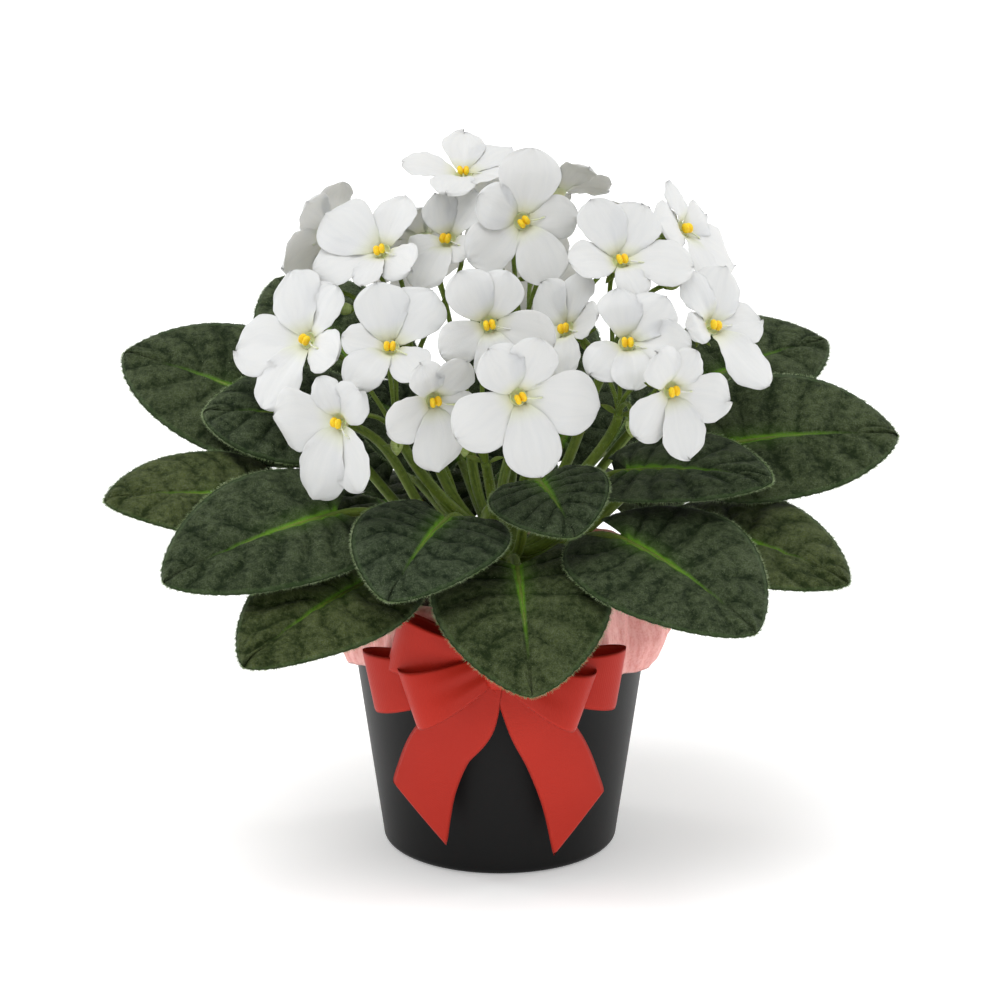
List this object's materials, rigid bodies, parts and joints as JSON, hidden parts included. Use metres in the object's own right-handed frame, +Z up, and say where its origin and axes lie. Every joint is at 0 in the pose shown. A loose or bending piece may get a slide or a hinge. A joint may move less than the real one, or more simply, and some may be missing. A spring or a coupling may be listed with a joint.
{
  "type": "potted african violet",
  "caption": "African violet with white blooms over a rosette of dark velvety leaves, in a black cover pot with a pink tissue collar and a red ribbon bow.",
  "frame": {"origin": "centre of the cover pot's underside", "axes": "+Z up out of the pot; the bow and the front of the plant face -Y; +X is to the right of someone who looks at the front"},
  "size_m": [0.2816, 0.2175, 0.2556],
  "materials": {
    "pot_black": "smooth matte black",
    "grower_plastic": "thin moulded plastic",
    "soil": "crumbly peat potting soil with pale grains",
    "stalk_green": "juicy green stem with fine hairs",
    "tissue_pink": "thin fibrous non-woven sheet, gathered",
    "ribbon_red": "woven satin ribbon",
    "leaf_green": "quilted velvety leaf with a fuzzy edge",
    "petal_white": "soft white petals with yellow anthers"
  },
  "bodies": {
    "root": {"cover_pot": "pot_black", "growing_pot": "grower_plastic", "potting_soil": "soil", "crown": "stalk_green", "tissue_collar": "tissue_pink", "ribbon_bow": "ribbon_red", "leaf_left": "leaf_green", "leaf_left_inner": "leaf_green", "leaf_left_low": "leaf_green", "leaf_left_front": "leaf_green", "leaf_front_left_low": "leaf_green", "leaf_front_left": "leaf_green", "leaf_front": "leaf_green", "leaf_front_inner": "leaf_green", "leaf_front_right": "leaf_green", "leaf_right_inner": "leaf_green", "leaf_right": "leaf_green", "leaf_right_low": "leaf_green", "leaf_right_back": "leaf_green", "leaf_left_back": "leaf_green", "leaf_back_left": "leaf_green", "leaf_back": "leaf_green", "leaf_back_inner": "leaf_green", "leaf_back_right": "leaf_green", "leaf_back_left_low": "leaf_green", "leaf_back_low": "leaf_green", "leaf_back_right_low": "leaf_green", "leaf_centre_left": "leaf_green", "leaf_centre_right": "leaf_green", "stalk_left": "stalk_green", "stalk_front": "stalk_green", "stalk_right": "stalk_green", "stalk_upper_right": "stalk_green", "stalk_top": "stalk_green", "stalk_upper_left": "stalk_green", "stalk_back_left": "stalk_green", "stalk_back": "stalk_green", "bloom_front": "petal_white", "bloom_front_left": "petal_white", "bloom_low_left": "petal_white", "bloom_low_right": "petal_white", "bloom_left": "petal_white", "bloom_mid_left": "petal_white", "bloom_middle": "petal_white", "bloom_mid_back": "petal_white", "bloom_mid_right": "petal_white", "bloom_right": "petal_white", "bloom_upper_left": "petal_white", "bloom_upper_mid_left": "petal_white", "bloom_upper_middle": "petal_white", "bloom_upper_right": "petal_white", "bloom_high_right": "petal_white", "bloom_top": "petal_white", "bloom_left_back": "petal_white", "bloom_top_right": "petal_white", "bloom_top_back": "petal_white", "bloom_back": "petal_white", "bloom_back_right": "petal_white", "bloom_back_left": "petal_white", "bloom_back_low": "petal_white"}
  },
  "joints": []
}
